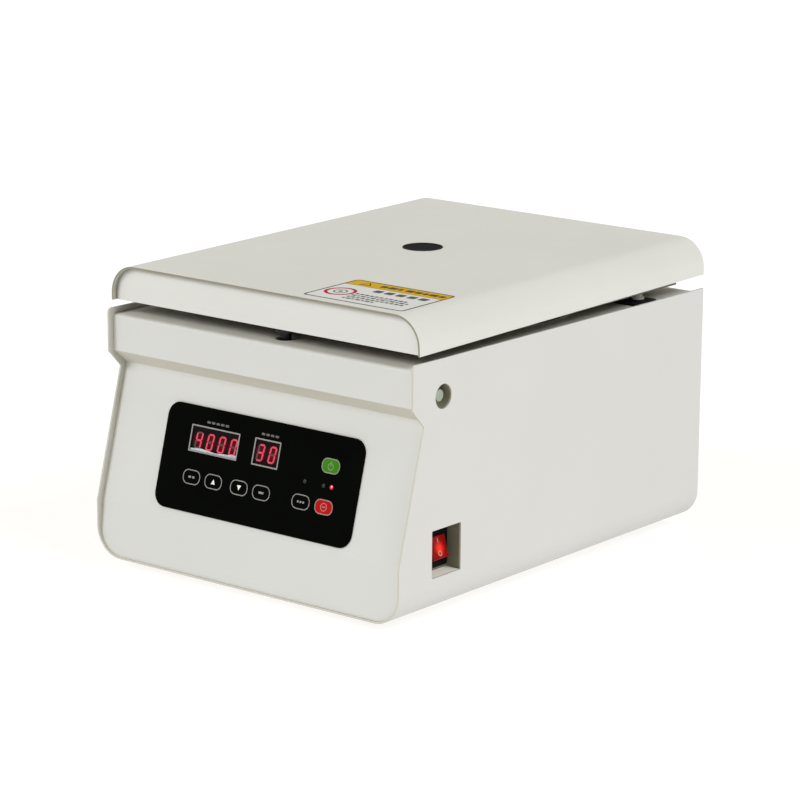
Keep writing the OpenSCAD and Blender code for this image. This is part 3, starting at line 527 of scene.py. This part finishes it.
def segment(kind):
    """Corners of one seven-segment bar about the digit's centre."""
    half_w = DIGIT_WIDTH / 2 - SEGMENT_WIDTH / 2
    half_h = DIGIT_HEIGHT / 2 - SEGMENT_WIDTH / 2
    level = {"a": half_h, "g": 0, "d": -half_h}
    t = SEGMENT_WIDTH / 2
    if kind in level:
        y, reach = level[kind], half_w - SEGMENT_GAP
        bar = [(reach, y), (reach - t, y + t), (t - reach, y + t),
               (-reach, y), (t - reach, y - t), (reach - t, y - t)]
    else:
        x = half_w if kind in "bc" else -half_w
        y = half_h / 2 if kind in "bf" else -half_h / 2
        reach = half_h / 2 - SEGMENT_GAP
        bar = [(x, y + reach), (x - t, y + reach - t), (x - t, y - reach + t), (x, y - reach),
               (x + t, y - reach + t), (x + t, y + reach - t)]
    return [(px + DIGIT_LEAN * py, py) for px, py in bar]


def display(name, text, node, shift, drop):
    """Digits of a display with a dim painted glow behind each, shift mm right and drop mm below its window's
    middle.
    """
    lit_height, dark_height, low = 0.12, 0.08, 0.01
    haze_low, haze_high, haze_reach = 0.002, 0.006, 8.5 * MM
    haze_width, haze_height, haze_radius = DIGIT_WIDTH + 3.4, DIGIT_HEIGHT + 3, 3
    face, size = outer_face(node, OUTWARD)
    centre = FACE.local(face.origin)
    display_frame(name, (centre.x, centre.y), size)
    lit, dead = Shape(), Shape()
    for i, digit in enumerate(text):
        x = (i - (len(text) - 1) / 2) * DIGIT_PITCH + shift
        for kind in "abcdefg":
            bar = [(x + px, py - drop) for px, py in segment(kind)]
            if kind in SEGMENTS[digit]:
                lit.prism(bar, low, lit_height)
            else:
                dead.prism(bar, low, dark_height)
        # Painted glow: a faint glowing plate round each digit stands in for light spreading from the lit segments.
        haze = halo("digit_painted_glow", (0.004, 0.002, 0.003), (0.9, 0.01, 0.05), 0.13, face.place(x, -drop), haze_reach,
                    Specular_IOR_Level=0.05)
        plate = Shape()
        plate.prism(rounded(haze_width, haze_height, haze_radius, (x, -drop)), haze_low, haze_high)
        plate.piece(f"{name}_haze_{i + 1}", haze, "cabinet", face.place)
    lit.piece(name + "_lit_segments", LIT_SEGMENT, "cabinet", face.place)
    dead.piece(name + "_dark_segments", DEAD_SEGMENT, "cabinet", face.place)
    return face, size


def caption(name, centre, width):
    """Row of short bars where a caption is printed."""
    usual_pitch, gap, height, depth = 4.2, 1.1, 1.7, 0.02
    shape = Shape()
    count = max(2, round(width / usual_pitch))
    for i in range(count):
        x = centre[0] + (i - (count - 1) / 2) * width / count
        shape.prism(rounded(width / count - gap, height, 0.5, (x, centre[1]), 3), -depth, PRINT_HIGH)
    shape.piece(name, CAPTION_INK, "cabinet", FACE.place)


def key_marks():
    """Line round each key and the sign printed on it. Both ride on the key."""
    for key in KEYS:
        cap, size = outer_face(key, OUTWARD)
        outline = Shape()
        rounded_band(outline, size.x, size.y, 5, 0.7)
        outline.piece(key + "_outline", LINE_INK, key, cap.place)
        sign = Shape()
        if key == "key_up":
            outlines = [[(-1.95, -1.9), (1.95, -1.9), (0, 2.0)]]
        elif key == "key_down":
            outlines = [[(1.95, 1.9), (-1.95, 1.9), (0, -2.0)]]
        elif key == "key_stop":
            sign.band(circle(3.1), circle(2.6), PRINT_LOW, PRINT_HIGH)
            outlines = [rounded(3.4, 0.6, 0.2, steps=2)]
        elif key == "key_start":
            sign.band(circle(2.7, (0, -0.5)), circle(2.2, (0, -0.5)), PRINT_LOW, PRINT_HIGH)
            outlines = [rounded(0.6, 3.6, 0.2, (0, 1.6), 2)]
        else:
            count, length = {"key_set": (2, 2.6), "key_confirm": (1, 5.0), "key_short": (3, 1.6)}[key]
            outlines = [rounded(length, 1.6, 0.5, ((i - (count - 1) / 2) * (length + 1.0), 0), 3)
                        for i in range(count)]
        for corners in outlines:
            sign.prism(corners, PRINT_LOW, PRINT_HIGH)
        bright = key in ("key_up", "key_down")
        sign.piece(key + "_sign", SIGN_INK if bright else LINE_INK, key, cap.place)


def lamp_lenses():
    """Domed lens over each lamp. The last one is lit, and carries a small glowing painted highlight."""
    face, _ = outer_face("indicator_lamps", OUTWARD)
    near = 2
    tops = [p for p in (face.local(v.co) for v in NODES["indicator_lamps"].data.vertices) if abs(p.z) < 0.05]
    across = sorted(p.x for p in tops)
    groups = [[across[0]]]
    for x in across[1:]:
        if x - groups[-1][-1] > near:
            groups.append([])
        groups[-1].append(x)
    dome = [(0, -0.02), (1.5, -0.02), (1.5, 0.1), (1.25, 0.3), (0.8, 0.45), (0.3, 0.52), (0, 0.53)]
    highlight = [(0, 0.42), (0.55, 0.42), (0.45, 0.56), (0, 0.6)]
    for i, group in enumerate(groups):
        x = (group[0] + group[-1]) / 2
        level = [p.y for p in tops if abs(p.x - x) < near]
        y = (min(level) + max(level)) / 2
        lit = i == len(groups) - 1
        lens = Shape()
        lens.lathe(dome, 32, (x, y))
        lens.piece(f"lamp_lens_{i + 1}", LAMP_ON if lit else LAMP_OFF, "cabinet", face.place, smooth=True)
    spark = Shape()
    spark.lathe(highlight, 24, (x + 0.5, y + 0.5))
    spark.piece("lamp_highlight", LAMP_PAINTED_HIGHLIGHT, "cabinet", face.place, smooth=True)


SPEED_FACE, SPEED_SIZE = display("speed", "4000", "speed_display", 1.25, 1.1)
TIME_FACE, TIME_SIZE = display("time", "30", "time_display", -0.5, 0.4)
for name, face, size, width in (("speed_caption", SPEED_FACE, SPEED_SIZE, 23),
                                ("time_caption", TIME_FACE, TIME_SIZE, 18)):
    spot = FACE.local(face.origin)
    caption(name, (spot.x + 1, spot.y + size.y / 2 + 4.2), width)
key_marks()
lamp_lenses()


def painted_sill_highlight():
    """Painted highlight: a bright strip along the lower edge of the speed window's pane, where the pane catches
    the light.
    """
    shape = Shape()
    half = SPEED_SIZE.x / 2 - 0.6
    low = -SPEED_SIZE.y / 2 + 0.4
    shape.prism([(-half, low), (half, low), (half, low + 2.6), (half * 0.1, low + 0.9),
                 (-half * 0.55, low + 2.2), (-half, low + 1.2)], 0.14, 0.2)
    shape.piece("speed_pane_highlight", SILL_HIGHLIGHT, "cabinet", SPEED_FACE.place)


painted_sill_highlight()


# ---- power rocker ----

def rocker_parts():
    """Curved rocker with a softened outline, and its two signs, in the tilt that it is stored in."""
    joint = JOINTS["power_rocker"]
    pivot = Vector(joint["pos_m"])
    tilt = Matrix.Rotation(math.radians(-joint["range_deg"][1] / 2), 4, "Y")
    width, half, crown = 18.4, 8.8, 4.9
    rise, fall = 1.0, 0.7  # how far the dished face rises at both ends, and how much less it does at the top
    rim, rim_steps, steps = 0.7, 4, 16
    base_half, base_out, neck_half, neck_out = 4.9, -4.9, 8.5, -0.3

    def dish(z):
        return crown + rise * (z / half) ** 2 - fall * max(0, z / half) ** 2

    def place(y, z, out):
        return pivot + tilt @ (Vector((out, y, z)) * MM)

    def rim_point(k, side):
        angle = math.radians(90 * k / rim_steps)
        return dish(half) - rim * (1 - math.sin(angle)), side * (half - rim * (1 - math.cos(angle)))

    outline = [(base_out, -base_half), (neck_out, -neck_half)]
    outline += [rim_point(k, -1) for k in range(rim_steps)]
    outline += [(dish(z), z) for z in [(half - rim) * (2 * k / steps - 1) for k in range(steps + 1)]]
    outline += [rim_point(k, 1) for k in reversed(range(rim_steps))]
    outline += [(neck_out, neck_half), (base_out, base_half)]
    # each row across the rocker: distance from its middle, and how far the outline is drawn in there
    rows = [(width / 2, 0.45), (width / 2 - 0.12, 0.2), (width / 2 - 0.4, 0.0)]
    stations = [(-y, inset) for y, inset in rows] + [(y, inset) for y, inset in reversed(rows)]
    n = len(outline)
    points = [(y, z * (1 - inset / half), out - inset * 0.8) for y, inset in stations for out, z in outline]
    faces = [tuple(range(n)), tuple(range(len(points) - 1, len(points) - n - 1, -1))]
    for s in range(len(stations) - 1):
        faces += [(s * n + i, s * n + (i + 1) % n, (s + 1) * n + (i + 1) % n, (s + 1) * n + i) for i in range(n)]
    body = Shape()
    body.add(points, faces)
    lamp = place(0.5, -1.0, dish(0))
    lit = halo("rocker_red", (0.22, 0.002, 0.002), (1.0, 0.045, 0.01), 0.8, lamp, 0.007, 0.3,
               Specular_IOR_Level=0.12)
    rocker = body.piece("rocker_cap", lit, "power_switch", place, smooth=True)
    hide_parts("power_rocker")

    def on_dish(y, z, lift):
        return place(y, z, dish(z) + lift)

    sign_low, sign_high = -0.03, 0.06
    bar = Shape()
    bar.prism(rounded(0.8, 3.4, 0.3, (0, 5.3), 3), sign_low, sign_high)
    bar.piece("rocker_on_sign", MARK_INK, "power_switch", on_dish)
    ring = Shape()
    ring.band(circle(2.1, (0, -4.6)), circle(1.35, (0, -4.6)), sign_low, sign_high)
    ring.piece("rocker_off_sign", MARK_INK, "power_switch", on_dish)


rocker_parts()


# ---- notice on the lid ----

def notice():
    """Printed notice with no words on it: a band, a plain ring and rows of bars."""
    face, size = outer_face("notice_plate", UP)
    margin, band_height, corner_radius = 1.3, 15.0, 3.3
    half = size.x / 2 - margin
    top = size.y / 2 - margin
    line, band, rule, ring, bars, heading = (Shape() for _ in range(6))

    rounded_band(line, size.x - 0.6, size.y - 0.6, 4.1, 1.5)

    arc = [on_circle(angle, corner_radius) for angle in range(0, 91, 15)]
    corner = [(half - corner_radius + x, top - corner_radius + y) for x, y in arc]
    band.prism([(-half, top - band_height), (half, top - band_height)] + corner
               + [(-x, y) for x, y in reversed(corner)], PRINT_LOW, 0.04)
    rule.prism([(-half, top - band_height - 0.5), (half, top - band_height - 0.5), (half, top - band_height),
                (-half, top - band_height)], PRINT_LOW, PRINT_HIGH)

    centre = (-size.x / 2 + 16.5, -size.y / 2 + 25)
    ring.band(circle(12.4, centre, 64), circle(9.8, centre, 64), PRINT_LOW, PRINT_HIGH)
    bars.band(circle(5.6, centre, 48), circle(4.4, centre, 48), PRINT_LOW, PRINT_HIGH)
    bars.prism(circle(1.8, centre, 24), PRINT_LOW, PRINT_HIGH)

    def bar(x, y, length, height, radius, steps):
        return rounded(length, height, radius, (x + length / 2, y), steps)

    large, large_pitch = 7.6, 10.6
    for i in range(5):
        bars.prism(bar(size.x / 2 - 54.5 - large / 2 + large_pitch * i, top - band_height - 8, large, 7.2, 1.4, 4),
                   PRINT_LOW, PRINT_HIGH)
    for row, count in enumerate([11, 12, 12, 7]):
        x = size.x / 2 - 64
        for i in range(count):
            length = 3.3 + 1.2 * math.sin(3.1 * i + 1.7 * row)
            bars.prism(bar(x, -size.y / 2 + 26 - 5.2 * row, length, 2.9, 0.6, 3), PRINT_LOW, PRINT_HIGH)
            x += length + 1.2

    over_band = (0.02, 0.07)
    heading.band([(-36, top - 11.7), (-24, top - 11.7), (-30, top - 3.6)],
                 [(-33.9, top - 10.5), (-26.1, top - 10.5), (-30, top - 5.4)], *over_band)
    x, gap, wide_gap = -17, 1.3, 3.4
    for i in range(8):
        length = 6 + 2.2 * math.sin(2.3 * i)
        heading.prism(bar(x, top - band_height / 2, length, 5.6, 1, 3), *over_band)
        x += length + (wide_gap if i == 2 else gap)

    for shape, name, finish in ((line, "outline", INK), (band, "band", AMBER_INK), (rule, "rule", INK),
                                (ring, "ring", RED_INK), (bars, "bars", GREY_INK), (heading, "heading_bars", INK)):
        shape.piece("notice_" + name, finish, "lid", face.place)


notice()


# ---- release rod's spring ----

def spring():
    """Coil round the release rod, drawn at one length: it does not shorten as the rod goes in."""
    low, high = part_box("rod_spring")
    wire, turns, steps, sides = 0.7, 7, 24, 10
    first, last = low.x / MM + wire, high.x / MM - wire
    radius = (high.y - low.y) / MM / 2 - wire
    centre = (low + high) / 2
    rings = turns * steps
    section = [on_circle(360 * j / sides, wire) for j in range(sides)]
    points = []
    for i in range(rings + 1):
        y, z = on_circle(360 * i / steps)
        along = first + (last - first) * i / rings
        points += [(along + forward, (radius + out) * y, (radius + out) * z) for out, forward in section]
    faces = [(sides * i + j, sides * i + (j + 1) % sides, sides * (i + 1) + (j + 1) % sides, sides * (i + 1) + j)
             for i in range(rings) for j in range(sides)]
    faces += [tuple(range(sides)), tuple(rings * sides + j for j in range(sides))]
    shape = Shape()
    shape.add(points, faces)

    def place(x, y, z):
        return Vector((x * MM, centre.y + y * MM, centre.z + z * MM))

    made = shape.piece("release_spring", BRIGHT, "cabinet", place, smooth=True)
    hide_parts("rod_spring")
    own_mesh(made)


spring()


# ---- screws that hold the hinge ----

def screw_head(shape, x, y, radius):
    """Domed head with a cross in a round recess, on its plane."""
    recess_floor, cross_top = 0.95, 1.15
    shape.lathe([(0, -0.1), (radius, -0.1), (radius, 0.4), (radius * 0.93, 0.9), (radius * 0.72, 1.4),
                 (radius * 0.4, 1.65), (radius * 0.34, recess_floor), (0, recess_floor)], 32, (x, y))
    bar = rounded(radius * 1.05, radius * 0.2, radius * 0.08, steps=2)
    for angle in (0, 90):
        across, along = on_circle(angle)
        shape.prism([(x + px * across - py * along, y + px * along + py * across) for px, py in bar],
                    recess_floor - 0.05, cross_top)


def hinge_screws():
    """Screws through the hinge's lower leaf, which is 1.5 mm thick and lies on the deck."""
    low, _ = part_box("hinge_base")
    leaf_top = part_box("top_deck")[1].z / MM + 1.5
    shape = Shape()
    from_edge, radius = 5, 2.6
    for x in (-94, -42, 0, 42, 94):
        screw_head(shape, x, low.y / MM + from_edge, radius)
    shape.piece("hinge_base_screws", BRIGHT, "cabinet", lambda x, y, z: Vector((x, y, leaf_top + z)) * MM,
                smooth=True)


hinge_screws()


# ---- floor, light and camera ----

def studio_floor():
    """Pale disc, 8 m in radius with an upturned rim, that gives a little light of its own."""
    reach, rise, sides = 8, 1.4, 64
    rim = [on_circle(360 * k / sides, reach) for k in range(sides)]
    mesh = bpy.data.meshes.new("studio_floor")
    walls = [(k, sides + k, sides + (k + 1) % sides, (k + 1) % sides) for k in range(sides)]
    mesh.from_pydata([(x, y, z) for z in (0, rise) for x, y in rim], [], [tuple(range(sides))] + walls)
    floor = bpy.data.objects.new("studio_floor", mesh)
    bpy.context.scene.collection.objects.link(floor)
    pale = bpy.data.materials.new("pale_floor")
    pale.use_nodes = True
    shader = pale.node_tree.nodes["Principled BSDF"]
    shader.inputs["Base Color"].default_value = (0.25, 0.25, 0.25, 1)
    shader.inputs["Roughness"].default_value = 0.9
    shader.inputs["Specular IOR Level"].default_value = 0.0
    shader.inputs["Emission Color"].default_value = (1, 0.985, 0.96, 1)
    shader.inputs["Emission Strength"].default_value = 0.82
    mesh.materials.append(pale)


def studio_world():
    world = bpy.data.worlds.new("studio_world")
    world.use_nodes = True
    background = world.node_tree.nodes["Background"]
    background.inputs["Color"].default_value = (1, 0.93, 0.78, 1)
    background.inputs["Strength"].default_value = 0.36
    bpy.context.scene.world = world


def soft_light(name, compass, height, power):
    """A large lamp far away. Its angles are in degrees, the compass angle from +X towards +Y."""
    data = bpy.data.lights.new(name, "SUN")
    data.energy = power
    data.angle = math.radians(28)
    data.color = (0.975, 0.99, 1.0)
    light = bpy.data.objects.new(name, data)
    bpy.context.scene.collection.objects.link(light)
    level, up = on_circle(height)
    towards = Vector((*on_circle(compass, level), up))
    light.rotation_euler = towards.to_track_quat("Z", "Y").to_euler()


def studio_camera():
    data = bpy.data.cameras.new("camera")
    camera = bpy.data.objects.new("camera", data)
    bpy.context.scene.collection.objects.link(camera)
    camera.location = (1.56524, -1.96004, 0.73676)
    aim = Vector((0, 0.00725, 0.12586)) - camera.location
    roll = Matrix.Rotation(math.radians(0.469), 4, "Z")
    camera.matrix_world = (Matrix.Translation(camera.location)
                           @ aim.to_track_quat("-Z", "Y").to_matrix().to_4x4() @ roll)
    data.sensor_width = 36
    data.lens = 147.93
    data.shift_x = -0.0131
    data.shift_y = -0.0132
    data.clip_end = 100
    bpy.context.scene.camera = camera
    bpy.context.scene.view_settings.view_transform = "Standard"


studio_floor()
studio_world()
soft_light("front_softbox", 245, 34, 1.84)
soft_light("side_softbox", 9, 42, 1.98)
studio_camera()
